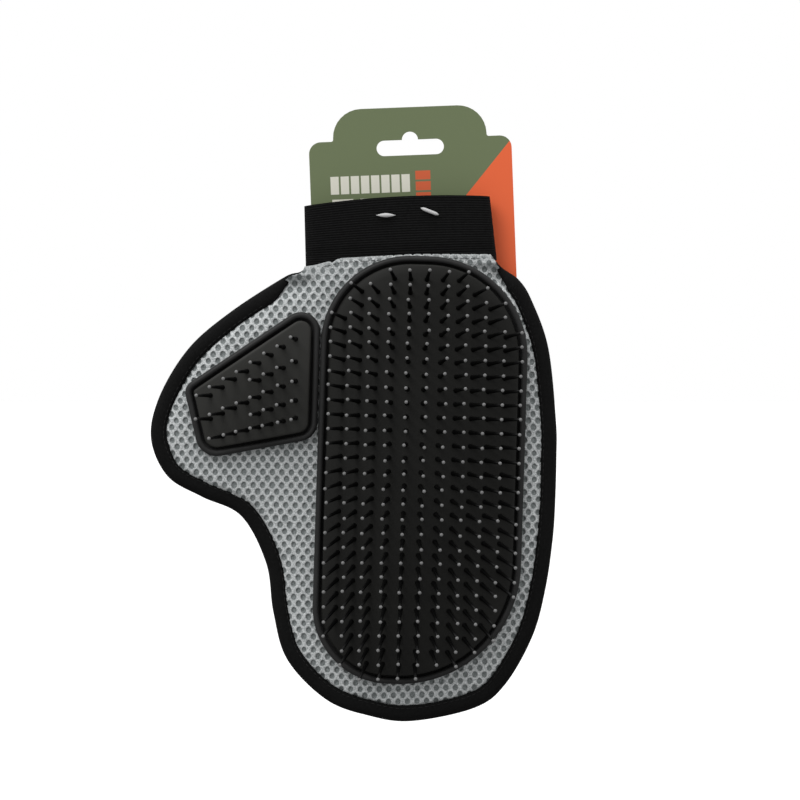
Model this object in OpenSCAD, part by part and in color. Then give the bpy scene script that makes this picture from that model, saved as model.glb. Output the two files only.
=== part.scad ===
// Pet grooming glove: a mitten of air mesh with a pin pad on the palm and one on the thumb,
// hanging from its header card by two plastic tag fasteners.
// +Z is up, the pins point along -Y, and the origin is the centre of the round hump in the
// card's hang slot, half way through the board.

/* [Header card] */
// Width of the card
card_w = 95.8; // [90:0.1:100]
// Height of the card, from its raised top to its hidden lower edge
card_h = 110; // [100:1:125]
// Thickness of the board
card_t = 0.6; // [0.4:0.1:0.8]
// Lean of the card where it hangs, in degrees
card_lean = 2.2; // [0:0.1:3]
// Radius of the slot's hump, which sits over a peg
peg_r = 3.8; // [3:0.1:4]
// Length of the hang slot
slot_w = 31.8; // [28:0.1:34]
// Height of the hang slot under the hump
slot_h = 7.3; // [6:0.1:9]

/* [Tag fasteners] */
// Height of the two tag holes
tag_z = -35.4; // [-40:0.1:-34]
// Radius of the nylon filament
filament_r = 0.4; // [0.3:0.05:0.45]
// Radius of each tag hole in the card
tag_hole_r = 0.8; // [0.7:0.05:1]

/* [Cuff] */
// Width of the elastic wrist cuff, laid flat
cuff_w = 89; // [84:0.5:92]
// Height of the cuff
cuff_h = 28.5; // [26:0.5:32]
// Depth of the cuff, front to back
cuff_d = 13; // [12:0.5:14]
// Thickness of the elastic
cuff_t = 1.7; // [1.4:0.1:2]

/* [Glove] */
// Front face of the air mesh over the palm
front_y = -16; // [-17:0.5:-15.5]
// Rear face of the air mesh over the back of the hand
rear_y = -2.6; // [-2.8:0.1:-2.4]
// Thickness of the air mesh
mesh_t = 3; // [2.5:0.1:3]
// Thickness of the air mesh on the back of the hand
rear_mesh_t = 2.4; // [2:0.1:2.5]
// Thickness of each lining
lining_t = 0.7; // [0.5:0.1:0.8]
// Width of the binding that is rolled round the edge
binding_w = 7.6; // [6.5:0.1:8.5]

/* [Palm pad] */
// Width of the palm pad
pad_w = 97.2; // [95:0.1:98]
// Height of the palm pad
pad_h = 201; // [198:0.5:202]
// Radius of the palm pad's upper corner beside the thumb
pad_r = 42; // [40:0.5:46]
// Width of each pad's rim bead
rim_w = 3; // [2.4:0.1:3.2]
// Pitch of the pin columns
pin_pitch_x = 7.57; // [7.4:0.01:7.7]
// Pitch of the pin rows
pin_pitch_z = 6.45; // [6.3:0.01:6.5]

/* [Pins] */
// Length of a pin, from the cushion to the centre of its ball
pin_l = 13.6; // [12:0.1:14]
// Radius of a pin at its root
pin_r = 0.9; // [0.7:0.05:1]
// Radius of a pin's ball tip
tip_r = 0.85; // [0.8:0.05:1]

/* [Thumb pad] */
// Pitch of the thumb pad's pins along a row
thumb_pitch = 5.7; // [5.5:0.05:5.8]
// Width of the gap between the palm's fabric and the thumb's at the fold
fold_gap = 0.7; // [0.5:0.1:1]

/* [Hidden] */
PALM_COLUMNS = 11;
PALM_ROWS = 29;
THUMB_ROWS = 5;
$fn = 64;

// Depths, front to back
rim_y = front_y - 4.5;
plate_t = 1.8;
cushion_back_y = front_y - plate_t - 1.8;
membrane_t = 2.2;
groove_w = 1.1;
sink = 0.6;
cuff_front_y = -15.4;
cuff_centre_y = cuff_front_y + cuff_d / 2;

// The palm pad's middle, its lean, its corner radii clockwise from the upper one on the
// little-finger side, and the two radii of its crowned cushion
pad_at = [4.9, 0, -156];
pad_lean = 1.8;
pad_radii = [47, 57, 36, pad_r];
crown_y = -30.6;
crown_rx = 145;
crown_rz = 700;
pin_grid_shift = [0.2, -0.85];
// First and last row of pins in each column, from the thumb's side
pin_rows = [
    [4, 26], [2, 28], [2, 29], [1, 29], [1, 29], [1, 29], [1, 28], [1, 28], [2, 27], [3, 26],
    [5, 23]
];
pin_end_r = 0.6;
// How the pins lean: outwards per millimetre from a line left of the middle, up and down per
// millimetre of height, the whole field's droop, and more droop at the lower sides
pin_fan = 0.0155;
pin_fan_from = -5;
pin_rise = 0.0043;
pin_droop = 0.1;
pin_side_droop = 0.0035;

// The thumb pad's corners, their radii, and its crowned cushion
thumb_corners = [[-41.6, -73.5], [-43.7, -141], [-98.2, -150.9], [-106.2, -116.8]];
thumb_radii = [9, 9, 10, 6];
thumb_crown = [-70, -25.2, -116];
thumb_rx = 130;
thumb_rz = 180;
// Each row of thumb pins: height at its right end, fall per millimetre leftwards, count
thumb_rows = [[-94.5, 0.66, 8], [-105.1, 0.51, 4], [-114.2, 0.44, 8], [-123.2, 0.36, 4], [-131.4, 0.25, 7]];
thumb_row_x = -53.6;

// The mitten's outer edge: the little-finger side, the fingertips, the crotch, the thumb,
// and a last stretch hidden in the cuff
edge_knots = [
    [42.8, -60.2], [51.2, -66.3], [57.3, -76], [65.2, -98.5], [68.8, -133], [69, -150],
    [68.4, -172], [67.2, -189], [63.9, -211.5], [57.8, -234], [45.1, -256.6], [30.6, -267.9],
    [1, -274.2], [-19.3, -271.7], [-39.5, -264.1], [-57.8, -245.3], [-64.4, -222.8],
    [-67.7, -200], [-79.4, -177.7], [-98, -168.6], [-114.2, -158.9], [-122, -141],
    [-118, -121.3], [-104.3, -98.7], [-84.5, -81.5], [-59, -65], [-50.3, -61.3],
    [-47.5, -46], [-24, -33], [12, -32], [34, -50]
];
edge_centre = [-10, -150];
edge_steps = 3;
edge_power = 14;
front_fall = 9;
rear_rise = -1.4;
rings = [0.35, 0.7, 0.82, 0.89, 0.95, 1];

// The cuff's middle and lean, which also set the line where the fabric meets it
cuff_at = [-5.5, 0, -44];
cuff_lean = -2;

// ---- Shapes ----

// One span of a Catmull-Rom curve through b and c
function span_point(a, b, c, d, t) =
    0.5 * (2 * b + (c - a) * t + (2 * a - 5 * b + 4 * c - d) * t * t
        + (3 * b - a - 3 * c + d) * t * t * t);

function closed_curve(k, steps) = [
    for (i = [0:len(k) - 1], j = [0:steps - 1])
        span_point(k[(i + len(k) - 1) % len(k)], k[i], k[(i + 1) % len(k)],
            k[(i + 2) % len(k)], j / steps)
];

// The arc that rounds corner p between its neighbours a and b
function corner_arc(a, p, b, r, steps) =
    let (
        u = (a - p) / norm(a - p),
        v = (b - p) / norm(b - p),
        half = acos(u * v) / 2,
        c = p + (u + v) / norm(u + v) * r / sin(half),
        s = p + u * r / tan(half) - c,
        e = p + v * r / tan(half) - c,
        from = atan2(s[1], s[0]),
        turn = atan2(e[1], e[0]) - from,
        sweep = turn > 180 ? turn - 360 : turn < -180 ? turn + 360 : turn
    )
    [for (i = [0:steps]) c + r * [cos(from + sweep * i / steps), sin(from + sweep * i / steps)]];

function rounded(points, radii, steps = 8) = [
    for (i = [0:len(points) - 1])
        each corner_arc(points[(i + len(points) - 1) % len(points)], points[i],
            points[(i + 1) % len(points)], radii[i], steps)
];

// A flat shape drawn in X and Z, standing between two depths
module upright(y0, y1) {
    translate([0, y1, 0])
        rotate([90, 0, 0])
            linear_extrude(y1 - y0)
                children();
}

module rounded_rect(w, h, r) {
    square([w, h - 2 * r], center = true);
    square([w - 2 * r, h], center = true);
    for (sx = [-1, 1], sz = [-1, 1])
        translate([sx * (w / 2 - r), sz * (h / 2 - r)])
            circle(r);
}

// A solid crowned both ways, whose foremost point is at depth y
module crown(y, rx, rz, half_h) {
    translate([0, y + rx, 0])
        rotate_extrude($fn = 240)
            intersection() {
                translate([rx - rz, 0])
                    circle(rz, $fn = 360);
                translate([0, -half_h])
                    square([rx + 1, 2 * half_h]);
            }
}

// Depth of that crown's surface at u across and w up
function crown_depth(y, rx, rz, u, w) =
    let (r = rx - rz + sqrt(rz * rz - w * w))
    y + rx - sqrt(r * r - u * u);

// ---- Glove fabric ----

edge = closed_curve(edge_knots, edge_steps);

function fabric_y(s, y, fall) = y + fall * pow(s, edge_power);

function fabric_ring(s, y, fall) = [
    for (p = edge)
        let (q = edge_centre + s * (p - edge_centre))
        [q[0], fabric_y(s, y, fall), q[1]]
];

// A curved sheet of the mitten's outline: t thick behind depth y, bending by fall at the edge
module fabric_sheet(y, fall, t) {
    n = len(edge);
    k = len(rings);
    front = [for (s = rings) each fabric_ring(s, y, fall)];
    back = [for (s = rings) each fabric_ring(s, y + t, fall)];
    caps = [[edge_centre[0], y, edge_centre[1]], [edge_centre[0], y + t, edge_centre[1]]];
    b0 = n * k;
    c0 = 2 * n * k;
    faces = concat(
        [for (i = [0:n - 1]) [c0, i, (i + 1) % n]],
        [for (i = [0:n - 1]) [c0 + 1, b0 + (i + 1) % n, b0 + i]],
        [for (j = [0:k - 2], i = [0:n - 1])
            let (a = j * n + i, b = j * n + (i + 1) % n)
            each [[a, a + n, b + n], [a, b + n, b]]],
        [for (j = [0:k - 2], i = [0:n - 1])
            let (a = b0 + j * n + i, b = b0 + j * n + (i + 1) % n)
            each [[a, b + n, a + n], [a, b, b + n]]],
        [for (i = [0:n - 1])
            let (a = (k - 1) * n + i, b = (k - 1) * n + (i + 1) % n)
            each [[a, b + b0, b], [a, a + b0, b + b0]]]
    );
    polyhedron(concat(front, back, caps), faces);
}

// Everything below the cuff's lower edge
module below_cuff() {
    translate([cuff_at[0], 0, cuff_at[2]])
        rotate([0, cuff_lean, 0])
            translate([-150, -60, -300 - cuff_h / 2])
                cube([300, 80, 300]);
}

// The thumb's side of the fold, grown by g
module thumb_side(g) {
    upright(-50, 10)
        polygon([[-140, -62.5 + g], [-44.4 + g, -62.5 + g], [-44.4 + g, -161 - g],
            [-80, -188.4 - 1.3 * g], [-140, -188.4 - 1.3 * g]]);
}

module inside_binding() {
    upright(-30, 5)
        offset(delta = -binding_w)
            polygon(edge);
}

module palm_sheet(y, fall, t) {
    difference() {
        intersection() {
            fabric_sheet(y, fall, t);
            inside_binding();
            below_cuff();
        }
        thumb_side(fold_gap);
    }
}

module thumb_sheet(y, fall, t) {
    intersection() {
        fabric_sheet(y, fall, t);
        inside_binding();
        thumb_side(0);
    }
}

module binding_ring() {
    upright(-12.8, -3.4)
        difference() {
            polygon(edge);
            offset(delta = -binding_w)
                polygon(edge);
        }
}

module palm_mesh() {
    color("silver") palm_sheet(front_y, front_fall, mesh_t);
}

module palm_lining() {
    color("dimgray") palm_sheet(front_y + mesh_t, front_fall, lining_t);
}

module rear_mesh() {
    color("silver") palm_sheet(rear_y - rear_mesh_t, rear_rise, rear_mesh_t);
}

module rear_lining() {
    color("dimgray") palm_sheet(rear_y - rear_mesh_t - lining_t, rear_rise, lining_t);
}

module thumb_mesh() {
    color("silver") thumb_sheet(front_y, front_fall, mesh_t);
}

module thumb_lining() {
    color("dimgray") thumb_sheet(front_y + mesh_t, front_fall, lining_t);
}

module thumb_rear_mesh() {
    color("silver") thumb_sheet(rear_y - rear_mesh_t, rear_rise, rear_mesh_t);
}

module thumb_rear_lining() {
    color("dimgray") thumb_sheet(rear_y - rear_mesh_t - lining_t, rear_rise, lining_t);
}

module palm_binding() {
    color("#1c1c1c")
        difference() {
            intersection() {
                binding_ring();
                below_cuff();
            }
            thumb_side(fold_gap);
        }
}

module thumb_binding() {
    color("#1c1c1c")
        intersection() {
            binding_ring();
            thumb_side(0);
        }
}

// ---- Cuff, tags and card ----

module wrist_cuff() {
    color("#141414")
        translate([cuff_at[0], cuff_centre_y, cuff_at[2]])
            rotate([0, cuff_lean, 0])
                translate([0, 0, -cuff_h / 2])
                    linear_extrude(cuff_h)
                        difference() {
                            rounded_rect(cuff_w, cuff_d, 5);
                            rounded_rect(cuff_w - 2 * cuff_t, cuff_d - 2 * cuff_t, 5 - cuff_t);
                        }
}

// A T-bar across the filament, leaning by a
module tag_bar(y, z, r, a) {
    translate([0, y, z])
        rotate([0, 90 + a, 0])
            cylinder(h = 9.2, r = r, center = true);
}

module tag_fasteners() {
    front_bar_y = cuff_front_y - 0.9;
    rear_bar_y = card_t / 2 + 0.8;
    color("gainsboro")
        for (tag = [[-11.3, -0.7, 0], [9.3, 0.7, 21]])
            translate([tag[0], 0, tag_z]) {
                tag_bar(front_bar_y, tag[1], 0.9, tag[2]);
                tag_bar(rear_bar_y, 0, 0.5, 0);
                translate([0, rear_bar_y, 0])
                    rotate([90, 0, 0])
                        cylinder(h = rear_bar_y - front_bar_y, r = filament_r);
            }
}

module card_outline() {
    top = 15.4;
    shoulder = 0.4;
    raised = 36.3;
    polygon(rounded(
        [[-card_w / 2, top - card_h], [card_w / 2, top - card_h], [card_w / 2, shoulder],
         [raised, shoulder], [raised, top], [-raised, top], [-raised, shoulder],
         [-card_w / 2, shoulder]],
        [5, 5, 5.6, 1, 13.5, 13.5, 1, 5.6]));
}

module header_card() {
    color("#68744f")
        rotate([0, -card_lean, 0])
            difference() {
                upright(-card_t / 2, card_t / 2)
                    difference() {
                        card_outline();
                        translate([0, -slot_h / 2])
                            rounded_rect(slot_w, slot_h, slot_h / 2 - 0.01);
                        circle(peg_r);
                    }
                rotate([0, card_lean, 0])
                    for (x = [-11.3, 9.3])
                        translate([x, 5, tag_z])
                            rotate([90, 0, 0])
                                cylinder(h = 10, r = tag_hole_r);
            }
}

// ---- Palm pad ----

module palm_pad_frame() {
    translate(pad_at)
        rotate([0, pad_lean, 0])
            children();
}

// The palm pad's outline, set in by g
module palm_outline(g) {
    w = pad_w / 2 - g;
    h = pad_h / 2 - g;
    polygon(rounded([[w, h], [w, -h], [-w, -h], [-w, h]], [for (r = pad_radii) r - g], 16));
}

module palm_pad_base() {
    color("#2c2c2c")
        palm_pad_frame() {
            upright(front_y - plate_t, front_y)
                palm_outline(0);
            upright(rim_y, front_y - plate_t)
                difference() {
                    palm_outline(0);
                    palm_outline(rim_w);
                }
        }
}

// The crowned block inside the rim, set in by g all round and back by d
module palm_crown(g, d) {
    palm_pad_frame()
        intersection() {
            upright(crown_y - 1, cushion_back_y)
                palm_outline(rim_w + groove_w + g);
            crown(crown_y + d, crown_rx - d, crown_rz - d, pad_h / 2);
        }
}

module palm_cushion() {
    color("#303030")
        difference() {
            palm_crown(0, 0);
            palm_crown(membrane_t, membrane_t);
        }
}

module palm_foam() {
    color("gray") palm_crown(membrane_t, membrane_t);
}

// Root and direction of each pin in column i, in the pad's frame
function palm_pins(i) = [
    for (j = [pin_rows[i - 1][0]:pin_rows[i - 1][1]])
        let (
            u = (i - (PALM_COLUMNS + 1) / 2) * pin_pitch_x,
            w = ((PALM_ROWS + 1) / 2 - j) * pin_pitch_z + pin_grid_shift[1],
            x = u + pin_grid_shift[0],
            side = u / ((PALM_COLUMNS - 1) / 2 * pin_pitch_x)
        )
        [[x, crown_depth(crown_y, crown_rx, crown_rz, x, w), w],
         [(u - pin_fan_from) * pin_fan, -1,
          w * pin_rise - pin_droop + pin_side_droop * min(w, 0) * side * side]]
];

module at_pin(pin) {
    d = pin[1] / norm(pin[1]);
    translate(pin[0])
        rotate([0, acos(d[2]), atan2(d[1], d[0])])
            children();
}

module pin_shaft() {
    translate([0, 0, -sink])
        cylinder(h = pin_l + sink, r1 = pin_r, r2 = pin_end_r, $fn = 16);
}

module pin_tip() {
    translate([0, 0, pin_l])
        sphere(tip_r, $fn = 16);
}

module palm_pin_column(i) {
    color("#1a1a1a")
        palm_pad_frame()
            for (pin = palm_pins(i))
                at_pin(pin) pin_shaft();
}

module palm_tip_column(i) {
    color("#969696")
        palm_pad_frame()
            for (pin = palm_pins(i))
                at_pin(pin) pin_tip();
}

// ---- Thumb pad ----

module thumb_outline(g) {
    offset(delta = -g)
        polygon(rounded(thumb_corners, thumb_radii));
}

module thumb_pad_base() {
    color("#2c2c2c") {
        upright(front_y - plate_t, front_y)
            polygon(rounded(thumb_corners, thumb_radii));
        upright(rim_y, front_y - plate_t)
            difference() {
                polygon(rounded(thumb_corners, thumb_radii));
                thumb_outline(rim_w);
            }
    }
}

module thumb_crown_block(g, d) {
    intersection() {
        upright(thumb_crown[1] - 1, cushion_back_y)
            thumb_outline(rim_w + groove_w + g);
        translate([thumb_crown[0], 0, thumb_crown[2]])
            crown(thumb_crown[1] + d, thumb_rx - d, thumb_rz - d, 50);
    }
}

module thumb_cushion() {
    color("#303030")
        difference() {
            thumb_crown_block(0, 0);
            thumb_crown_block(membrane_t, membrane_t);
        }
}

module thumb_foam() {
    color("gray") thumb_crown_block(membrane_t, membrane_t);
}

function thumb_pins(i) = [
    for (j = [0:thumb_rows[i - 1][2] - 1])
        let (
            row = thumb_rows[i - 1],
            x = thumb_row_x - j * thumb_pitch,
            z = row[0] - row[1] * j * thumb_pitch
        )
        [[x, crown_depth(thumb_crown[1], thumb_rx, thumb_rz, x - thumb_crown[0], z - thumb_crown[2]), z],
         [(x + 41) * 0.0098, -1, (z - thumb_crown[2]) * 0.002]]
];

module thumb_pin_row(i) {
    color("#1a1a1a")
        for (pin = thumb_pins(i))
            at_pin(pin) pin_shaft();
}

module thumb_tip_row(i) {
    color("#969696")
        for (pin = thumb_pins(i))
            at_pin(pin) pin_tip();
}

header_card();
palm_mesh();
palm_lining();
rear_mesh();
rear_lining();
palm_binding();
wrist_cuff();
tag_fasteners();
palm_pad_base();
palm_cushion();
palm_foam();
thumb_mesh();
thumb_lining();
thumb_rear_mesh();
thumb_rear_lining();
thumb_binding();
thumb_pad_base();
thumb_cushion();
thumb_foam();
for (i = [1:PALM_COLUMNS]) {
    palm_pin_column(i);
    palm_tip_column(i);
}
for (i = [1:THUMB_ROWS]) {
    thumb_pin_row(i);
    thumb_tip_row(i);
}
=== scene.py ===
"""Looks of the grooming glove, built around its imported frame.

Lengths are in millimetres until add_mesh.
"""

import math

import bmesh
import bpy
import numpy as np
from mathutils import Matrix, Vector
from mathutils.kdtree import KDTree


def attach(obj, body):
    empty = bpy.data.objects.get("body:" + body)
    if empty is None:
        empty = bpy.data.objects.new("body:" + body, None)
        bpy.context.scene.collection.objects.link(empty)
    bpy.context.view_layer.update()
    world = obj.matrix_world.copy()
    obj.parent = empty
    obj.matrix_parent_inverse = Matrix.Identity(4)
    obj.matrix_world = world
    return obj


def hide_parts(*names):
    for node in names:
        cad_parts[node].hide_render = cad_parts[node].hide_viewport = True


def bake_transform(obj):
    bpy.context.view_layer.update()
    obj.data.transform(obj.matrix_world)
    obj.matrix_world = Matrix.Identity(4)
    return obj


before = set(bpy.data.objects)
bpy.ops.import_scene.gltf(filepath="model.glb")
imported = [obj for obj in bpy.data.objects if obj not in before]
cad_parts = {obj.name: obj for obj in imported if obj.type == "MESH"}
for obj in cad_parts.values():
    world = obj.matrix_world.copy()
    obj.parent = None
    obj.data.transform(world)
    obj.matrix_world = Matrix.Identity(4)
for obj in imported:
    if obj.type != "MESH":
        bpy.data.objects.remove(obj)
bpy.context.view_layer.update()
MM = 0.001
rng = np.random.default_rng(7)

# ---- The frame's own numbers ----

FRONT_Y, FRONT_FALL = -16.0, 9.0
REAR_Y, REAR_RISE = -2.6, -1.4
EDGE_POWER = 14
EDGE_CENTRE = np.array([-10.0, -150.0])
EDGE_KNOTS = np.array([
    [42.8, -60.2], [51.2, -66.3], [57.3, -76], [65.2, -98.5], [68.8, -133], [69, -150],
    [68.4, -172], [67.2, -189], [63.9, -211.5], [57.8, -234], [45.1, -256.6], [30.6, -267.9],
    [1, -274.2], [-19.3, -271.7], [-39.5, -264.1], [-57.8, -245.3], [-64.4, -222.8],
    [-67.7, -200], [-79.4, -177.7], [-98, -168.6], [-114.2, -158.9], [-122, -141],
    [-118, -121.3], [-104.3, -98.7], [-84.5, -81.5], [-59, -65], [-50.3, -61.3],
    [-47.5, -46], [-24, -33], [12, -32], [34, -50],
])
BINDING_W = 7.6
CUFF_AT = np.array([-5.5, -44.0])
CUFF_LEAN = math.radians(-2)
CUFF_HALF_W = 44.5
CUFF_REAR_Y = -3.4
CUFF_LOW = -14.8
CUFF_T = 1.7
TAG_Z = -35.4
CARD_LEAN = math.radians(2.2)
PAD_AT = np.array([4.9, -156.0])
PAD_LEAN = math.radians(1.8)
PAD_W, PAD_H = 97.2, 201.0
PAD_RADII = (47, 57, 36, 42)
CUSHION_BACK_Y = -19.6
CUSHION_INSET = 4.1
MEMBRANE = 2.2
PALM_CROWN = (-30.6, 145.0, 700.0)
PIN_PITCH = (7.57, 6.45)
PIN_SHIFT = (0.2, -0.85)
# First and last row of pins in each column, from the thumb's side
PIN_ROWS = (
    (4, 26), (2, 28), (2, 29), (1, 29), (1, 29), (1, 29), (1, 28), (1, 28), (2, 27), (3, 26),
    (5, 23),
)
PIN_L, SINK = 13.6, 0.6
# How the palm's pins lean, sideways and up or down, for each millimetre of length
PIN_FAN, PIN_FAN_FROM = 0.0155, -5
PIN_RISE, PIN_DROOP, PIN_SIDE_DROOP = 0.0043, 0.1, 0.0035
THUMB_CORNERS = np.array([[-41.6, -73.5], [-43.7, -141.0], [-98.2, -150.9], [-106.2, -116.8]])
THUMB_RADII = (9, 9, 10, 6)
THUMB_CROWN_AT = np.array([-70.0, -116.0])
THUMB_CROWN = (-25.2, 130.0, 180.0)
THUMB_ROWS = ((-94.5, 0.66, 8), (-105.1, 0.51, 4), (-114.2, 0.44, 8), (-123.2, 0.36, 4), (-131.4, 0.25, 7))
THUMB_ROW_X, THUMB_PITCH = -53.6, 5.7


# ---- Curves and meshes ----

def smooth(t):
    t = np.clip(t, 0, 1)
    return t * t * (3 - 2 * t)


def turned(points, angle, about=(0, 0)):
    """2-D points turned as the frame turns about +Y, then moved."""
    p = np.asarray(points, float)
    c, s = math.cos(angle), math.sin(angle)
    return np.stack([p[:, 0] * c + p[:, 1] * s, -p[:, 0] * s + p[:, 1] * c], 1) + np.asarray(about)


def catmull(knots, steps):
    n = len(knots)
    out = []
    for i in range(n):
        a, b, c, d = knots[i - 1], knots[i], knots[(i + 1) % n], knots[(i + 2) % n]
        for t in np.arange(steps) / steps:
            out.append(0.5 * (2 * b + (c - a) * t + (2 * a - 5 * b + 4 * c - d) * t**2
                              + (3 * b - a - 3 * c + d) * t**3))
    return np.array(out)


def resampled(path, step, closed):
    p = np.vstack([path, path[:1]]) if closed else path
    along = np.concatenate([[0], np.cumsum(np.linalg.norm(np.diff(p, axis=0), axis=1))])
    n = max(8, int(round(along[-1] / step)))
    at = np.linspace(0, along[-1], n, endpoint=False) if closed else np.linspace(0, along[-1], n + 1)
    return np.stack([np.interp(at, along, p[:, k]) for k in range(2)], 1)


def normals(path, closed, centre):
    """Unit normals that point to the inside."""
    if closed:
        t = np.roll(path, -1, 0) - np.roll(path, 1, 0)
    else:
        t = np.gradient(path, axis=0)
    t /= np.linalg.norm(t, axis=1, keepdims=True)
    n = np.stack([-t[:, 1], t[:, 0]], 1)
    if ((np.asarray(centre) - path) * n).sum() < 0:
        n = -n
    return n


def rounded(corners, radii, steps=14):
    out = []
    n = len(corners)
    for i in range(n):
        a, p, b, r = corners[i - 1], corners[i], corners[(i + 1) % n], radii[i]
        u = (a - p) / np.linalg.norm(a - p)
        v = (b - p) / np.linalg.norm(b - p)
        half = math.acos(float(u @ v)) / 2
        c = p + (u + v) / np.linalg.norm(u + v) * r / math.sin(half)
        s, e = p + u * r / math.tan(half) - c, p + v * r / math.tan(half) - c
        start = math.atan2(s[1], s[0])
        turn = (math.atan2(e[1], e[0]) - start + math.pi) % (2 * math.pi) - math.pi
        for k in range(steps + 1):
            q = start + turn * k / steps
            out.append(c + r * np.array([math.cos(q), math.sin(q)]))
    return np.array(out)


def add_mesh(name, points, faces, material, flat=False, hole=None):
    mesh = bpy.data.meshes.new(name)
    mesh.from_pydata((np.asarray(points, float) * MM).tolist(), [], faces)
    mesh.validate()
    mesh.materials.append(material)
    if not flat:
        mesh.polygons.foreach_set("use_smooth", [True] * len(mesh.polygons))
    if hole is not None:
        mesh.attributes.new("hole", "FLOAT", "POINT").data.foreach_set("value", np.asarray(hole, np.float32))
    mesh.update()
    obj = bpy.data.objects.new(name, mesh)
    bpy.context.scene.collection.objects.link(obj)
    return obj


def strip_faces(rows, cols, close_rows, close_cols):
    out = []
    for i in range(rows if close_rows else rows - 1):
        for j in range(cols if close_cols else cols - 1):
            i2, j2 = (i + 1) % rows, (j + 1) % cols
            out.append((i * cols + j, i * cols + j2, i2 * cols + j2, i2 * cols + j))
    return out


def outward(obj):
    """Turns every face of a closed piece outward."""
    bm = bmesh.new()
    bm.from_mesh(obj.data)
    bmesh.ops.recalc_face_normals(bm, faces=bm.faces)
    bm.to_mesh(obj.data)
    bm.free()
    return obj


def sweep(path, inward, profile):
    """Points of an (inset, y) profile carried along a path: one row per path point."""
    rows = []
    for i, (p, n) in enumerate(zip(path, inward)):
        prof = profile(i) if callable(profile) else np.asarray(profile, float)
        rows.append(np.stack([p[0] + n[0] * prof[:, 0], prof[:, 1], p[1] + n[1] * prof[:, 0]], 1))
    return np.vstack(rows)


def tube(points, radii, sides, caps=True):
    """Vertices and faces of a round tube through 3-D points."""
    points = np.asarray(points, float)
    t = np.gradient(points, axis=0)
    t /= np.linalg.norm(t, axis=1, keepdims=True)
    ref = np.array([0.0, 0.0, 1.0]) if abs(t[0][2]) < 0.8 else np.array([1.0, 0.0, 0.0])
    rows = []
    for p, d, r in zip(points, t, radii):
        u = np.cross(d, ref)
        u /= np.linalg.norm(u)
        v = np.cross(d, u)
        q = np.arange(sides) * 2 * math.pi / sides
        rows.append(p + r * (np.cos(q)[:, None] * u + np.sin(q)[:, None] * v))
    verts = np.vstack(rows)
    faces = strip_faces(len(points), sides, False, True)
    if caps:
        faces += [tuple(range(sides))[::-1], tuple(range(len(verts) - sides, len(verts)))]
    return verts, faces


def joined(parts):
    verts, faces, at = [], [], 0
    for v, f in parts:
        verts.append(v)
        faces += [tuple(i + at for i in face) for face in f]
        at += len(v)
    return np.vstack(verts), faces


# ---- Materials ----

def colour(code):
    c = [int(code[i:i + 2], 16) / 255 for i in (1, 3, 5)]
    return (*[x / 12.92 if x <= 0.04045 else ((x + 0.055) / 1.055) ** 2.4 for x in c], 1)


class Finish:
    """A Principled material with small helpers for its procedural nodes."""

    def __init__(self, name, base, roughness, specular=0.5, sheen=0.0):
        self.material = bpy.data.materials.new(name)
        self.material.use_nodes = True
        self.tree = self.material.node_tree
        self.shader = self.tree.nodes["Principled BSDF"]
        self.put("Base Color", colour(base))
        self.put("Roughness", roughness)
        self.put("Specular IOR Level", specular)
        self.put("Sheen Weight", sheen)
        self.coords = self.node("ShaderNodeTexCoord").outputs["Object"]

    def node(self, kind, **values):
        n = self.tree.nodes.new(kind)
        for k, v in values.items():
            setattr(n, k, v)
        return n

    def put(self, socket, value):
        self.shader.inputs[socket].default_value = value

    def join(self, a, b):
        self.tree.links.new(a, b)

    def math(self, op, a, b=0.0):
        n = self.node("ShaderNodeMath", operation=op)
        for k, v in enumerate((a, b)):
            if isinstance(v, (int, float)):
                n.inputs[k].default_value = v
            else:
                self.join(v, n.inputs[k])
        return n.outputs[0]

    def mix(self, factor, a, b):
        n = self.node("ShaderNodeMix", data_type="RGBA")
        for socket, v in ((n.inputs["Factor"], factor), (n.inputs[6], a), (n.inputs[7], b)):
            if isinstance(v, str):
                socket.default_value = colour(v)
            elif isinstance(v, (int, float)):
                socket.default_value = v
            else:
                self.join(v, socket)
        return n.outputs[2]

    def noise(self, scale, detail=3.0, stretch=(1, 1, 1)):
        m = self.node("ShaderNodeMapping")
        m.inputs["Scale"].default_value = stretch
        self.join(self.coords, m.inputs["Vector"])
        n = self.node("ShaderNodeTexNoise")
        n.inputs["Scale"].default_value = scale
        n.inputs["Detail"].default_value = detail
        self.join(m.outputs[0], n.inputs["Vector"])
        return n.outputs["Fac"]

    def weave(self, pitch, across):
        """A sine ridge every pitch millimetres along one axis."""
        s = self.node("ShaderNodeSeparateXYZ")
        self.join(self.coords, s.inputs[0])
        return self.math("SINE", self.math("MULTIPLY", s.outputs[across], 2 * math.pi / (pitch * MM)))

    def bump(self, height, strength, distance):
        b = self.node("ShaderNodeBump")
        b.inputs["Strength"].default_value = strength
        b.inputs["Distance"].default_value = distance * MM
        self.join(height, b.inputs["Height"])
        self.join(b.outputs[0], self.shader.inputs["Normal"])


def rubber(name, low, high, roughness, grain=1800):
    f = Finish(name, low, roughness, 0.12)
    f.join(f.mix(f.noise(38, 2), low, high), f.shader.inputs["Base Color"])
    f.bump(f.noise(grain, 2), 0.25, 0.12)
    return f.material


def woven(name, low, high, pitch, sheen=0.0):
    f = Finish(name, low, 0.85, 0.08, sheen)
    threads = f.math("MULTIPLY", f.weave(pitch, 0), f.weave(pitch * 0.8, 2))
    fuzz = f.noise(900, 3)
    f.join(f.mix(f.math("ADD", f.math("MULTIPLY", threads, 0.25), fuzz), low, high),
           f.shader.inputs["Base Color"])
    f.bump(f.math("ADD", threads, fuzz), 0.5, 0.12)
    return f.material


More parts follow.
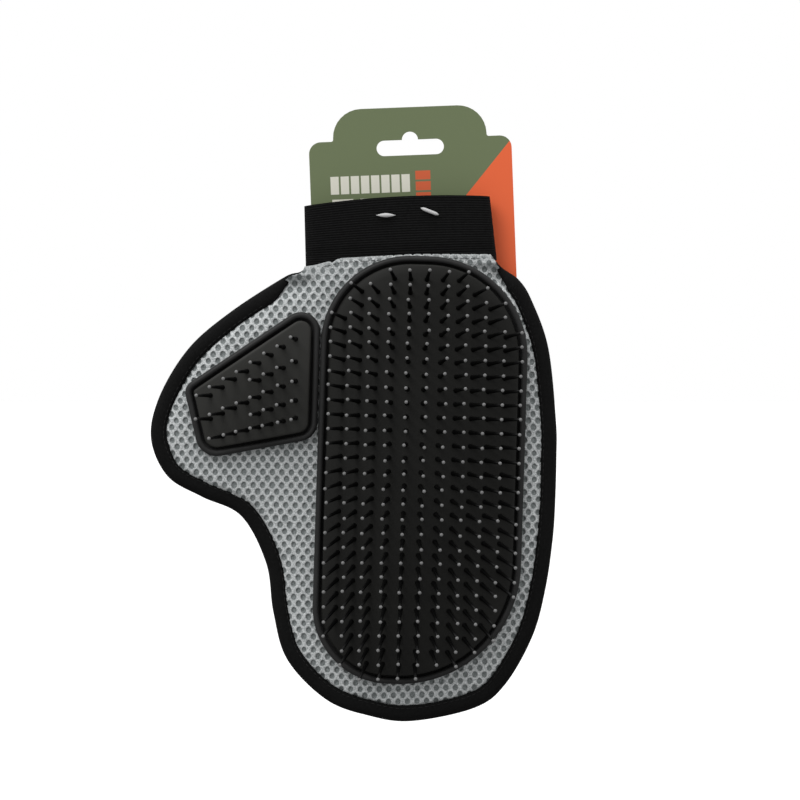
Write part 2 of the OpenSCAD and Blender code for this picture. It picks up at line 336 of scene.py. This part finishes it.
def air_mesh_finish(name):
    f = Finish(name, "#c0c4c5", 0.85, 0.1)
    # Painted shade: the hole attribute darkens the yarn towards each hole's floor, standing in for shade in
    # the recess
    hole = f.node("ShaderNodeAttribute", attribute_name="hole").outputs["Fac"]
    speck = f.math("ADD", f.math("MULTIPLY", f.math("SUBTRACT", f.noise(1500, 3), 0.5), 2.4), 0.5)
    light = f.mix(speck, "#9a9e9f", "#e4e7e7")
    painted_shade_tint = f.mix(speck, "#656a6a", "#969b9b")
    f.join(f.mix(hole, light, painted_shade_tint), f.shader.inputs["Base Color"])
    f.bump(f.math("ADD", speck, f.math("MULTIPLY", f.weave(0.55, 2), 0.2)), 0.6, 0.2)
    return f.material


def card_finish():
    f = Finish("card_print", "#68744f", 0.5, 0.4)
    split = f.node("ShaderNodeSeparateXYZ")
    f.join(f.coords, split.inputs[0])
    x, z = (f.math("MULTIPLY", split.outputs[k], 1000) for k in (0, 2))
    lean = math.tan(CARD_LEAN)
    u = f.math("ADD", x, f.math("MULTIPLY", z, lean))
    w = f.math("SUBTRACT", z, f.math("MULTIPLY", x, lean))

    def between(v, low, high):
        return f.math("MULTIPLY", f.math("GREATER_THAN", v, low), f.math("LESS_THAN", v, high))

    def block(u0, u1, w0, w1):
        return f.math("MULTIPLY", between(u, u0, u1), between(w, w0, w1))

    # Everything right of and below a slanted line is orange
    slant = f.math("SUBTRACT", f.math("MULTIPLY", f.math("SUBTRACT", x, 46.5), 24.9),
                   f.math("MULTIPLY", f.math("ADD", z, 1.2), 19.9))
    face = f.mix(f.math("GREATER_THAN", slant, 0), "#6f7b58", "#f46b3b")
    cream, orange = "#e6e4d6", "#d9633a"
    blocks = [(-38.3 + 4.8 * k, -34.4 + 4.8 * k, -24.6, -16.2, cream) for k in range(8)]
    blocks += [(a, b, -40, -27, cream) for a, b in ((-37.8, -27.8), (-24.6, -15.1), (-11.3, -0.6))]
    blocks += [(1.9, 9.0, c - 4.2, c, orange) for c in (-14.8, -19.9, -25.0)]
    for u0, u1, w0, w1, tint in blocks:
        face = f.mix(block(u0, u1, w0, w1), face, tint)
    mottle = f.noise(260, 4)
    board = f.mix(mottle, "#b9b3a6", "#cfcabd")
    normal = f.node("ShaderNodeSeparateXYZ")
    f.join(f.node("ShaderNodeTexCoord").outputs["Normal"], normal.inputs[0])
    f.join(f.mix(f.math("LESS_THAN", normal.outputs[1], -0.5), board, face), f.shader.inputs["Base Color"])
    f.bump(mottle, 0.12, 0.05)
    return f.material


MESH = air_mesh_finish("air_mesh")
LINING = woven("lining_tricot", "#34373a", "#4a4e52", 0.7)
BINDING = woven("binding_tape", "#0a0a0a", "#191919", 0.75)
ELASTIC = woven("cuff_elastic", "#0c0c0c", "#1d1d1d", 0.8)
THREAD = woven("stitch_thread", "#1c1c1c", "#3a3a3a", 0.3)
RIM = rubber("pad_rim", "#262626", "#343434", 0.42)
# Both cushions are one rubber: the palm's copy is darker for painted shade from its dense pins and from light
# falling from above, the thumb's copy lighter for painted light
PALM_CUSHION_PAINTED_SHADE = rubber("cushion_rubber", "#1a1a19", "#252523", 0.5)
THUMB_CUSHION_PAINTED_LIGHT = rubber("thumb_cushion_rubber_painted_light", "#2c2c2a", "#393937", 0.5)
FOAM = rubber("foam_block", "#77756f", "#8d8b85", 0.95, 700)
SHAFT = rubber("pin_shaft", "#070707", "#101010", 0.4)
TIP = rubber("pin_tip", "#717171", "#888888", 0.5)
NYLON = rubber("tag_nylon", "#bcbcbc", "#cbcbcb", 0.4)

# ---- Camera, light and floor, which come first ----

scene = bpy.context.scene
scene.view_settings.view_transform = "Standard"
camera = bpy.data.objects.new("camera", bpy.data.cameras.new("camera"))
DISTANCE, VIEW_WIDTH, SUBJECT_Y = 2.4, 0.376, 0.013
camera.location = (-0.0047, -DISTANCE, -0.123)
camera.rotation_euler = (math.radians(90), 0, 0)
camera.data.sensor_width = 36
camera.data.lens = camera.data.sensor_width * (DISTANCE - SUBJECT_Y) / VIEW_WIDTH
scene.collection.objects.link(camera)
scene.camera = camera

world = bpy.data.worlds.new("studio")
world.use_nodes = True
scene.world = world
wt = world.node_tree
background = wt.nodes["Background"]
white = wt.nodes.new("ShaderNodeBackground")
white.inputs[0].default_value = (1, 1, 1, 1)
background.inputs[0].default_value = (1, 1, 1, 1)
# Dimmer from below than from above
aim = wt.nodes.new("ShaderNodeSeparateXYZ")
wt.links.new(wt.nodes.new("ShaderNodeTexCoord").outputs["Generated"], aim.inputs[0])
grade = wt.nodes.new("ShaderNodeMapRange")
for socket, value in (("From Min", -1), ("From Max", 1), ("To Min", 0.25), ("To Max", 0.85)):
    grade.inputs[socket].default_value = value
wt.links.new(aim.outputs[2], grade.inputs["Value"])
wt.links.new(grade.outputs[0], background.inputs[1])
path = wt.nodes.new("ShaderNodeLightPath")
choose = wt.nodes.new("ShaderNodeMixShader")
wt.links.new(path.outputs["Is Camera Ray"], choose.inputs[0])
wt.links.new(background.outputs[0], choose.inputs[1])
wt.links.new(white.outputs[0], choose.inputs[2])
wt.links.new(choose.outputs[0], wt.nodes["World Output"].inputs[0])


def sun(name, direction, strength, spread):
    light = bpy.data.lights.new(name, "SUN")
    light.energy, light.angle = strength, math.radians(spread)
    obj = bpy.data.objects.new(name, light)
    obj.rotation_euler = Vector(direction).to_track_quat("-Z", "Y").to_euler()
    scene.collection.objects.link(obj)


sun("key", (0.5, 0.75, -0.75), 1.1, 30)
sun("overhead", (0.05, 0.1, -1), 1.1, 60)

FLOOR, FLOOR_Z = 400000, -330
corners = ((-1, -1), (1, -1), (1, 1), (-1, 1))
floor = add_mesh("floor", [[x * FLOOR, y * FLOOR, FLOOR_Z] for x, y in corners], [(0, 1, 2, 3)],
                 Finish("floor_white", "#fbfbfb", 0.9, 0.1).material, flat=True)
floor.visible_diffuse = False
floor.visible_glossy = False

# ---- The mitten's outline ----

EDGE = resampled(catmull(EDGE_KNOTS, 10), 1.6, True)


def radial(points, path):
    """Share of the way from the centre to that closed path, and the path's radius there."""
    d = points - EDGE_CENTRE
    e = path - EDGE_CENTRE
    angle = np.arctan2(e[:, 1], e[:, 0])
    order = np.argsort(angle)
    reach = np.interp(np.arctan2(d[:, 1], d[:, 0]), angle[order], np.linalg.norm(e, axis=1)[order],
                      period=2 * math.pi)
    return np.linalg.norm(d, axis=1) / reach, reach


def fabric_y(points, y, fall):
    s, _ = radial(points, EDGE)
    return y + fall * np.minimum(s, 1) ** EDGE_POWER


def in_cuff_frame(points):
    return turned(points - CUFF_AT, -CUFF_LEAN)


def taper(points):
    """Share of the binding's full width, which falls off towards its ends at the cuff."""
    return smooth((-14.5 - in_cuff_frame(points)[:, 1]) / 11)


edge_tree = KDTree(len(EDGE))
for k, p in enumerate(EDGE):
    edge_tree.insert((p[0], p[1], 0), k)
edge_tree.balance()


def edge_dip(points):
    """How far fabric goes in where it passes under the rolled binding."""
    off = np.array([edge_tree.find((p[0], p[1], 0))[2] for p in points])
    share = taper(points)
    return 1.9 * share * smooth((BINDING_W * share + 0.9 - off) / 1.8)


def hem(u):
    """Top of the mesh, which lies over the cuff's lower edge."""
    return np.interp(u, [-43.6, -39, -27, 8, 31, 45.9], [-14.7, -14.1, -11.4, -10.7, -11.6, -12.1])


EDGE_IN = EDGE + normals(EDGE, True, EDGE_CENTRE) * (0.4 + 2.8 * taper(EDGE))[:, None]


def held_in(points):
    """Points pulled in to the sewn border and down to the hem."""
    s, _ = radial(points, EDGE_IN)
    p = np.where(s[:, None] > 1, EDGE_CENTRE + (points - EDGE_CENTRE) / s[:, None], points)
    local = in_cuff_frame(p)
    top = hem(local[:, 0])
    local[:, 1] = np.minimum(local[:, 1], top)
    return turned(local, CUFF_LEAN, CUFF_AT)


def tuck(points):
    """How far the hem rolls in against the cuff."""
    local = in_cuff_frame(points)
    return 0.5 * np.clip((local[:, 1] - hem(local[:, 0]) + 1.3) / 1.3, 0, 1) ** 2


# ---- Air mesh ----

PITCH_X, PITCH_Z = 4.47, 3.07
LEAST_AREA = 0.004


def palm_outline(inset=0.0, step=2.0):
    w, h = PAD_W / 2, PAD_H / 2
    local = rounded(np.array([[w, h], [w, -h], [-w, -h], [-w, h]]), PAD_RADII, 40)
    local = resampled(local, step, True)
    local = local + normals(local, True, (0, 0)) * inset
    return turned(local, PAD_LEAN, PAD_AT)


def thumb_outline(inset=0.0, step=1.0):
    path = resampled(rounded(THUMB_CORNERS, THUMB_RADII), step, True)
    return path + normals(path, True, THUMB_CROWN_AT) * inset


def inside(points, polygon):
    hit = np.zeros(len(points), bool)
    a, b = polygon, np.roll(polygon, -1, 0)
    for (x0, z0), (x1, z1) in zip(a, b):
        if z0 == z1:
            continue
        cross = (points[:, 1] < z0) != (points[:, 1] < z1)
        hit ^= cross & (points[:, 0] < (x1 - x0) * (points[:, 1] - z0) / (z1 - z0) + x0)
    return hit


def air_mesh(name, y, fall, side, per_edge, covered):
    """A sheet of spacer knit: oval holes in staggered rows, with painted shade towards each hole's floor. side
    is -1 where it faces -Y.
    """
    mid, tip = (PITCH_Z**2 - PITCH_X**2 / 4) / (2 * PITCH_Z), (PITCH_X**2 / 4 + PITCH_Z**2) / (2 * PITCH_Z)
    h = PITCH_X / 2
    hexagon = np.array([[h, mid], [0, tip], [-h, mid], [-h, -mid], [0, -tip], [h, -mid]])
    rim = np.vstack([hexagon[i] + (hexagon[(i + 1) % 6] - hexagon[i]) * k / per_edge
                     for i in range(6) for k in range(per_edge)])
    n = len(rim)
    oval = np.array([1.27, 1.55])
    turn = np.arctan2(rim[:, 1] / oval[1], rim[:, 0] / oval[0])
    ring = np.stack([np.cos(turn), np.sin(turn)], 1) * oval
    # Each ring of a hole: its scale, its depth, and its share of the painted hole shade
    levels = [(1.14, -0.10, 0.0), (0.98, 0.10, 0.45), (0.84, 0.62, 1.0)]
    points, deep, hole, faces, drawn = [], [], [], [], 0
    centres = np.array([[-128 + (i + 0.5 * (j % 2)) * PITCH_X, -280 + j * PITCH_Z]
                        for j in range(80) for i in range(46)])
    s, reach = radial(centres, EDGE_IN)
    local = in_cuff_frame(centres)
    keep = ((s - 1) * reach < 1.6) & (local[:, 1] < hem(local[:, 0]) + 1.5)
    plain = np.zeros(len(centres), bool)
    for shape in covered:
        plain |= inside(centres, shape)
    sizes = rng.normal(1, 0.05, len(centres))
    for c, size, bare in zip(centres[keep], sizes[keep], plain[keep]):
        points.append(c + rim)
        deep.append(np.zeros(n))
        hole.append(np.zeros(n))
        if bare:
            faces.append(tuple(range(drawn, drawn + n)))
            drawn += n
            continue
        for scale, depth, share in levels:
            points.append(c + ring * scale * size)
            deep.append(np.full(n, depth))
            hole.append(np.full(n, share))
        for k in range(len(levels)):
            for a in range(n):
                b = (a + 1) % n
                faces.append((drawn + k * n + a, drawn + k * n + b, drawn + (k + 1) * n + b,
                              drawn + (k + 1) * n + a))
        faces.append(tuple(range(drawn + len(levels) * n, drawn + (len(levels) + 1) * n)))
        drawn += (len(levels) + 1) * n
    p, deep, hole = np.vstack(points), np.concatenate(deep), np.concatenate(hole)
    p = p + 0.45 * np.stack([np.sin(p[:, 1] / 13 + 1) + np.sin(p[:, 1] / 31), np.sin(p[:, 0] / 17)], 1)
    key = np.round(np.column_stack([p, deep]) * 200).astype(np.int64)
    _, first, merged = np.unique(key, axis=0, return_index=True, return_inverse=True)
    merged = merged.reshape(-1)
    p, deep, hole = p[first], deep[first], hole[first]
    p = held_in(p)
    # The holes close up, and their painted shade fades, where the hem is rolled over
    local = in_cuff_frame(p)
    open_share = smooth((hem(local[:, 0]) - local[:, 1] - 0.3) / 1.2)
    deep, hole = deep * open_share, hole * open_share
    depth = fabric_y(p, y, fall) - side * (deep + tuck(p) + edge_dip(p))
    # Up to its corners the hem stays outside the cuff
    by_hem = smooth((local[:, 1] - hem(local[:, 0]) + 8) / 4)
    outside = np.minimum(depth, FRONT_Y + 0.5) if side < 0 else np.maximum(depth, CUFF_REAR_Y + 0.6)
    depth += (outside - depth) * by_hem
    triples = np.stack([p[:, 0], depth, p[:, 1]], 1)
    out = []
    for face in faces:
        f = [int(merged[i]) for i in face]
        q = triples[f]
        area = np.abs(np.cross(q[1:-1] - q[0], q[2:] - q[0]).sum(0)).max() / 2
        if area > LEAST_AREA:
            out.append(tuple(f[::-1] if side < 0 else f))
    return add_mesh(name, triples, out, MESH, hole=hole)


def ring_sheet(name, y, fall, side, material):
    """A plain sheet of the same cut, in rings about its centre."""
    shares = np.concatenate([[0.02], np.linspace(0.1, 0.8, 9), [0.84, 0.88, 0.91, 0.94, 0.97, 1.0]])
    rings = [EDGE_CENTRE + (EDGE_IN[::3] - EDGE_CENTRE) * s for s in shares]
    p = held_in(np.vstack(rings))
    depth = fabric_y(p, y, fall) - side * (tuck(p) + edge_dip(p))
    n = len(rings[0])
    faces = strip_faces(len(rings), n, False, True) + [tuple(range(n))[::-1]]
    verts = np.stack([p[:, 0], depth, p[:, 1]], 1)
    kept = []
    for f in faces:
        q = verts[list(f)]
        if np.linalg.norm(np.cross(q[1:-1] - q[0], q[2:] - q[0]), axis=1).sum() > 0.05:
            kept.append(f)
    return add_mesh(name, verts, kept, material)


under_pads = [palm_outline(1.5), thumb_outline(1.5)]
front_panel = air_mesh("front_panel", FRONT_Y, FRONT_FALL, -1, 3, under_pads)
rear_panel = air_mesh("rear_panel", REAR_Y, REAR_RISE, 1, 2, [])
front_lining = ring_sheet("front_lining_sheet", FRONT_Y + 3.3, FRONT_FALL - 2.6, -1, LINING)
rear_lining = ring_sheet("rear_lining_sheet", REAR_Y - 2.7, REAR_RISE, 1, LINING)

# ---- Edge binding ----

# It runs from under the cuff's right corner, round the mitten, to under its left corner
START, END = (40.5, -57.4), (-50.3, -62.6)
first = int(np.argmin(np.linalg.norm(EDGE - START, axis=1)))
last = int(np.argmin(np.linalg.norm(EDGE - END, axis=1)))
run = EDGE[np.arange(first, last + 1 if last > first else last + 1 + len(EDGE)) % len(EDGE)]
run = np.vstack([run, run[-1] + np.array([[2.2, 1.2], [4.2, 2.0]])])
run_in = normals(run, False, EDGE_CENTRE)
run_at = np.concatenate([[0], np.cumsum(np.linalg.norm(np.diff(run, axis=0), axis=1))])
run_share = taper(run)
PUCKERS = ((0.16, 1.9, 0.3), (0.12, 3.1, 1.7), (0.22, 7.3, 4.0))
pucker = run_share * sum(a * np.sin(run_at / p + q) for a, p, q in PUCKERS)
ROLL = np.array([
    [0.0, -8.2], [0.15, -10.0], [0.7, -11.6], [1.7, -12.8], [3.0, -13.4], [4.6, -13.6], [6.1, -13.4],
    [7.1, -12.9], [7.6, -12.2], [7.3, -11.4], [6.6, -9.5], [6.6, -6.5], [7.3, -4.7], [7.6, -4.0],
    [7.1, -3.4], [6.1, -3.05], [4.6, -2.9], [3.0, -3.0], [1.7, -3.6], [0.7, -4.7], [0.15, -6.3],
])


def roll_at(i):
    share = 0.12 + 0.88 * run_share[i]
    out = ROLL.copy()
    out[:, 0] *= share * (1 + 0.02 * math.sin(run_at[i] / 5.1))
    out[:, 1] = -8.2 + (out[:, 1] + 8.2) * share
    front = out[:, 1] < -9
    out[front, 1] += 0.6 * pucker[i] * np.clip((out[front, 0] - 1) / 4, 0, 1)
    return out


binding = add_mesh("edge_binding", sweep(run, run_in, roll_at),
                   strip_faces(len(run), len(ROLL), False, True)
                   + [tuple(range(len(ROLL))), tuple(range((len(run) - 1) * len(ROLL), len(run) * len(ROLL)))],
                   BINDING)
outward(binding)


def stitches(name, path, inward, inset, y_of, pitch, long, material, radius=0.17):
    """A row of sunken stitches: short bowed threads, one every pitch."""
    at = np.concatenate([[0], np.cumsum(np.linalg.norm(np.diff(path, axis=0), axis=1))])
    line = path + inward * inset
    parts = []
    for a in np.arange(pitch, at[-1] - pitch, pitch):
        spots = a + np.linspace(-long / 2, long / 2, 5)
        p = np.stack([np.interp(spots, at, line[:, k]) for k in range(2)], 1)
        bow = np.array([0.12, -0.08, -0.14, -0.08, 0.12])
        pts = np.stack([p[:, 0], y_of(a) + bow, p[:, 1]], 1)
        parts.append(tube(pts, [radius * 0.6, radius, radius, radius, radius * 0.6], 6))
    v, f = joined(parts)
    return add_mesh(name, v, f, material)


full = np.flatnonzero(run_share > 0.98)
sewn = slice(full[0], full[-1] + 1)
binding_stitches = stitches("binding_stitches", run[sewn], run_in[sewn], 6.3,
                            lambda a: -13.42 + 0.5 * float(np.interp(a + run_at[full[0]], run_at, pucker)),
                            3.1, 2.1, THREAD)

# ---- Cuff ----


def cuff_loop(inner):
    """Plan of the cuff: (u, share from rear 0 to front 1), anticlockwise from the right."""
    off = CUFF_T if inner else 0
    corner = 5 - off
    w, d = CUFF_HALF_W - off, 6.5 - off
    shape = rounded(np.array([[w, -d], [w, d], [-w, d], [-w, -d]]), (corner,) * 4, 8)
    return resampled(shape, 1.25, True)


def cuff_surface(loop, inner, rows):
    verts = []
    off = CUFF_T if inner else 0
    for t in np.linspace(0, 1, rows):
        u0 = loop[:, 0] * (1.011 - 0.029 * t) + 0.9 - t
        top = 14.45 + 2.2 * (1 - ((u0 - 8) / CUFF_HALF_W) ** 2)
        z = CUFF_LOW + (top - CUFF_LOW) * t
        front = np.interp(t, [0.16, 0.3], [-14.7, -15.2]) + off
        rear = CUFF_REAR_Y - off
        share = (loop[:, 1] + 6.5 - off) / (13 - 2 * off)
        y = front + (rear - front) * share
        if not inner:
            rib = 0.2 * np.sin(2 * math.pi * t * 27)
            y = y + rib * np.sign(loop[:, 1])
        at = turned(np.stack([u0, z], 1), CUFF_LEAN, CUFF_AT)
        verts.append(np.stack([at[:, 0], y, at[:, 1]], 1))
    return verts


outer_loop = cuff_loop(False)
inner_loop = resampled(cuff_loop(True), 1, True)
spots = np.linspace(0, 1, len(outer_loop), endpoint=False)
have = np.linspace(0, 1, len(inner_loop) + 1)
inner_loop = np.stack([np.interp(spots, have, np.append(inner_loop[:, k], inner_loop[0, k]))
                       for k in range(2)], 1)
cuff_rows = cuff_surface(outer_loop, False, 163) + cuff_surface(inner_loop, True, 12)[::-1]
cuff = add_mesh("cuff_band", np.vstack(cuff_rows),
                strip_faces(len(cuff_rows), len(outer_loop), True, True), ELASTIC)
outward(cuff)

# A row of stitches that holds the cuff to the mitten
us = np.linspace(-38, 42, 60)
seam_local = np.stack([us, hem(us) - 2.0], 1)
seam = turned(seam_local, CUFF_LEAN, CUFF_AT)
cuff_stitches = stitches("cuff_stitches", seam, np.zeros_like(seam), 0, lambda a: -16.02, 2.6, 1.7, THREAD)

# ---- Tags ----


def lens(at, long, thick, angle, power):
    """A T-bar: a round bar whose ends taper by power."""
    t = np.linspace(-1, 1, 15)
    c, s = math.cos(angle), math.sin(angle)
    pts = np.stack([at[0] + t * long / 2 * c, np.full(15, at[1]), at[2] + t * long / 2 * s], 1)
    radii = thick / 2 * np.maximum(1 - np.abs(t) ** power, 0.06)
    return tube(pts, radii, 14)


FRONT_BAR_Y, REAR_BAR_Y = -16.7, 1.1
FILAMENT_R = 0.4
tag_parts = []
for x, dz, angle, power, thick in ((-11.3, -0.9, 0.0, 1.7, 2.1), (9.3, 0.9, -21.0, 6, 1.7)):
    tag_parts.append(lens((x, FRONT_BAR_Y, TAG_Z + dz), 9.2, thick, math.radians(angle), power))
    tag_parts.append(lens((x, REAR_BAR_Y, TAG_Z), 9.2, 1.0, 0.0, 8))
    filament = [[x, REAR_BAR_Y, TAG_Z], [x, -7, TAG_Z], [x, FRONT_BAR_Y, TAG_Z + dz]]
    tag_parts.append(tube(filament, [FILAMENT_R] * len(filament), 10))
v, f = joined(tag_parts)
tags = add_mesh("tag_bars", v, f, NYLON)

# ---- Pads ----

RIM_PROFILE = np.array([
    [0.0, -15.2], [0.0, -18.9], [0.28, -19.9], [1.0, -20.5], [1.65, -20.6], [2.3, -20.35], [2.9, -19.6],
    [3.05, -18.4], [3.1, -17.8],
])


def pad_rim(name, outline, centre, material):
    """The pad's moulded base: a bead all round and the plate inside it."""
    n_in = normals(outline, True, centre)
    verts = sweep(outline, n_in, RIM_PROFILE)
    k = len(RIM_PROFILE)
    faces = strip_faces(len(outline), k, True, False)
    # The plate's front, inside the bead, and its back, each as one face
    faces.append(tuple(i * k + k - 1 for i in range(len(outline))))
    faces.append(tuple(i * k for i in range(len(outline)))[::-1])
    obj = add_mesh(name, verts, faces, material)
    outward(obj)
    return obj


def crown_y(p, crown):
    y, rx, rz = crown
    r = rx - rz + np.sqrt(rz**2 - p[:, 1] ** 2)
    return y + rx - np.sqrt(r**2 - p[:, 0] ** 2)


def crowned(name, outline, centre, local, crown, inset, sunk, material):
    """A cushion: walls up from its back, a filleted edge, then rings that close on the centre."""
    n_in = normals(outline, True, centre)
    rows = []
    for extra, drop in ((0.0, None), (0.0, 0.9), (0.12, 0.5), (0.4, 0.18), (0.85, 0.0)):
        p = outline + n_in * (inset + extra)
        y = np.full(len(p), CUSHION_BACK_Y + 0.05) if drop is None else crown_y(local(p), crown) + drop + sunk
        rows.append(np.stack([p[:, 0], np.minimum(y, CUSHION_BACK_Y + 0.05), p[:, 1]], 1))
    edge = outline + n_in * (inset + 0.85)
    for s in np.linspace(1, 0, 26)[1:-1]:
        p = np.asarray(centre) + (edge - centre) * s
        y = np.minimum(crown_y(local(p), crown) + sunk, CUSHION_BACK_Y - 0.05)
        rows.append(np.stack([p[:, 0], y, p[:, 1]], 1))
    n = len(outline)
    faces = strip_faces(len(rows), n, False, True)
    faces.append(tuple(range(n)))
    faces.append(tuple(range((len(rows) - 1) * n, len(rows) * n))[::-1])
    obj = add_mesh(name, np.vstack(rows), faces, material)
    outward(obj)
    return obj


def palm_local(p):
    return turned(np.asarray(p) - PAD_AT, -PAD_LEAN)


def thumb_local(p):
    return np.asarray(p) - THUMB_CROWN_AT


palm_path, thumb_path = palm_outline(0, 2.0), thumb_outline(0, 0.8)
palm_rim = pad_rim("palm_pad_rim", palm_path, PAD_AT, RIM)
thumb_rim = pad_rim("thumb_pad_rim", thumb_path, THUMB_CROWN_AT, RIM)
palm_cushion = crowned("palm_cushion_skin", palm_path, PAD_AT, palm_local, PALM_CROWN,
                       CUSHION_INSET, 0, PALM_CUSHION_PAINTED_SHADE)
thumb_cushion = crowned("thumb_cushion_skin", thumb_path, THUMB_CROWN_AT, thumb_local, THUMB_CROWN,
                        CUSHION_INSET, 0, THUMB_CUSHION_PAINTED_LIGHT)
palm_foam = crowned("palm_foam_block", palm_path, PAD_AT, palm_local, PALM_CROWN, CUSHION_INSET + MEMBRANE,
                    MEMBRANE, FOAM)
thumb_foam = crowned("thumb_foam_block", thumb_outline(CUSHION_INSET, 0.8), THUMB_CROWN_AT, thumb_local,
                     THUMB_CROWN, 0.6, MEMBRANE, FOAM)

# ---- Pins ----


def palm_pins():
    out = []
    for i in range(11):
        for j in range(PIN_ROWS[i][0], PIN_ROWS[i][1] + 1):
            u, w = (i - 5) * PIN_PITCH[0], (15 - j) * PIN_PITCH[1] + PIN_SHIFT[1]
            x = u + PIN_SHIFT[0]
            y = crown_y(np.array([[x, w]]), PALM_CROWN)[0]
            side = u / (5 * PIN_PITCH[0])
            lean = np.array([(u - PIN_FAN_FROM) * PIN_FAN,
                             w * PIN_RISE - PIN_DROOP + PIN_SIDE_DROOP * min(w, 0) * side * side])
            at, way = turned([[x, w]], PAD_LEAN, PAD_AT)[0], turned([lean], PAD_LEAN)[0]
            out.append(([at[0], y, at[1]], [way[0], -1, way[1]]))
    return out


def thumb_pins():
    out = []
    for right, slope, count in THUMB_ROWS:
        for j in range(count):
            x = THUMB_ROW_X - j * THUMB_PITCH
            z = right - slope * j * THUMB_PITCH
            y = crown_y(thumb_local([[x, z]]), THUMB_CROWN)[0]
            out.append(([x, y, z], [(x + 41) * 0.0098, -1, (z - THUMB_CROWN_AT[1]) * 0.002]))
    return out


def ball(at, r):
    rings = []
    for q in np.linspace(0.12, math.pi - 0.12, 8):
        a = np.arange(12) * math.pi / 6
        rings.append(at + r * np.stack([np.cos(a) * math.sin(q), np.full(12, -math.cos(q)),
                                        np.sin(a) * math.sin(q)], 1))
    return np.vstack(rings), (strip_faces(8, 12, False, True)
                              + [tuple(range(12)), tuple(range(84, 96))[::-1]])


def build_pins(prefix, pins):
    shafts, tips = [], []
    stops = np.array([-SINK, 0.0, 0.5, 1.2, 6.0, PIN_L])
    radii = [1.3, 1.2, 1.08, 0.97, 0.82, 0.6]
    for root, way in pins:
        d = np.array(way, float)
        d /= np.linalg.norm(d)
        d = d + rng.normal(0, 0.018, 3)
        d /= np.linalg.norm(d)
        pts = np.array(root) + stops[:, None] * d
        shafts.append(tube(pts, radii, 12))
        tips.append(ball(np.array(root) + d * PIN_L, 0.85))
    made = []
    for name, parts, material in ((f"{prefix}_pin_shafts", shafts, SHAFT), (f"{prefix}_pin_balls", tips, TIP)):
        v, f = joined(parts)
        made.append(outward(add_mesh(name, v, f, material)))
    return made


palm_shafts, palm_balls = build_pins("palm", palm_pins())
thumb_shafts, thumb_balls = build_pins("thumb", thumb_pins())

# ---- What rides on what ----

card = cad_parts["header_card"]
card.data.materials.clear()
card.data.materials.append(card_finish())

stands_for = {
    front_panel: ("palm_mesh", "thumb_mesh"),
    rear_panel: ("rear_mesh", "thumb_rear_mesh"),
    front_lining: ("palm_lining", "thumb_lining"),
    rear_lining: ("rear_lining", "thumb_rear_lining"),
    binding: ("palm_binding", "thumb_binding"),
    cuff: ("wrist_cuff",),
    tags: ("tag_fasteners",),
    palm_rim: ("palm_pad_base",),
    thumb_rim: ("thumb_pad_base",),
    palm_cushion: ("palm_cushion",),
    thumb_cushion: ("thumb_cushion",),
    palm_foam: ("palm_foam",),
    thumb_foam: ("thumb_foam",),
    palm_shafts: tuple(f"palm_pins_{i}" for i in range(1, 12)),
    palm_balls: tuple(f"palm_pin_tips_{i}" for i in range(1, 12)),
    thumb_shafts: tuple(f"thumb_pins_{i}" for i in range(1, 6)),
    thumb_balls: tuple(f"thumb_pin_tips_{i}" for i in range(1, 6)),
}
for piece, nodes in stands_for.items():
    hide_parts(*nodes)
for piece in (front_panel, rear_panel, front_lining, rear_lining, binding, binding_stitches):
    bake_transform(piece)
rides = {
    "palm": (cuff, cuff_stitches, tags, palm_rim),
    "thumb": (thumb_rim,),
    "palm_pad": (palm_cushion, palm_foam, palm_shafts, palm_balls),
    "thumb_pad": (thumb_cushion, thumb_foam, thumb_shafts, thumb_balls),
}
for body, group in rides.items():
    for piece in group:
        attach(piece, body)

# ---- The outline, held in to the sewn border ----

cut = held_in(EDGE_IN)
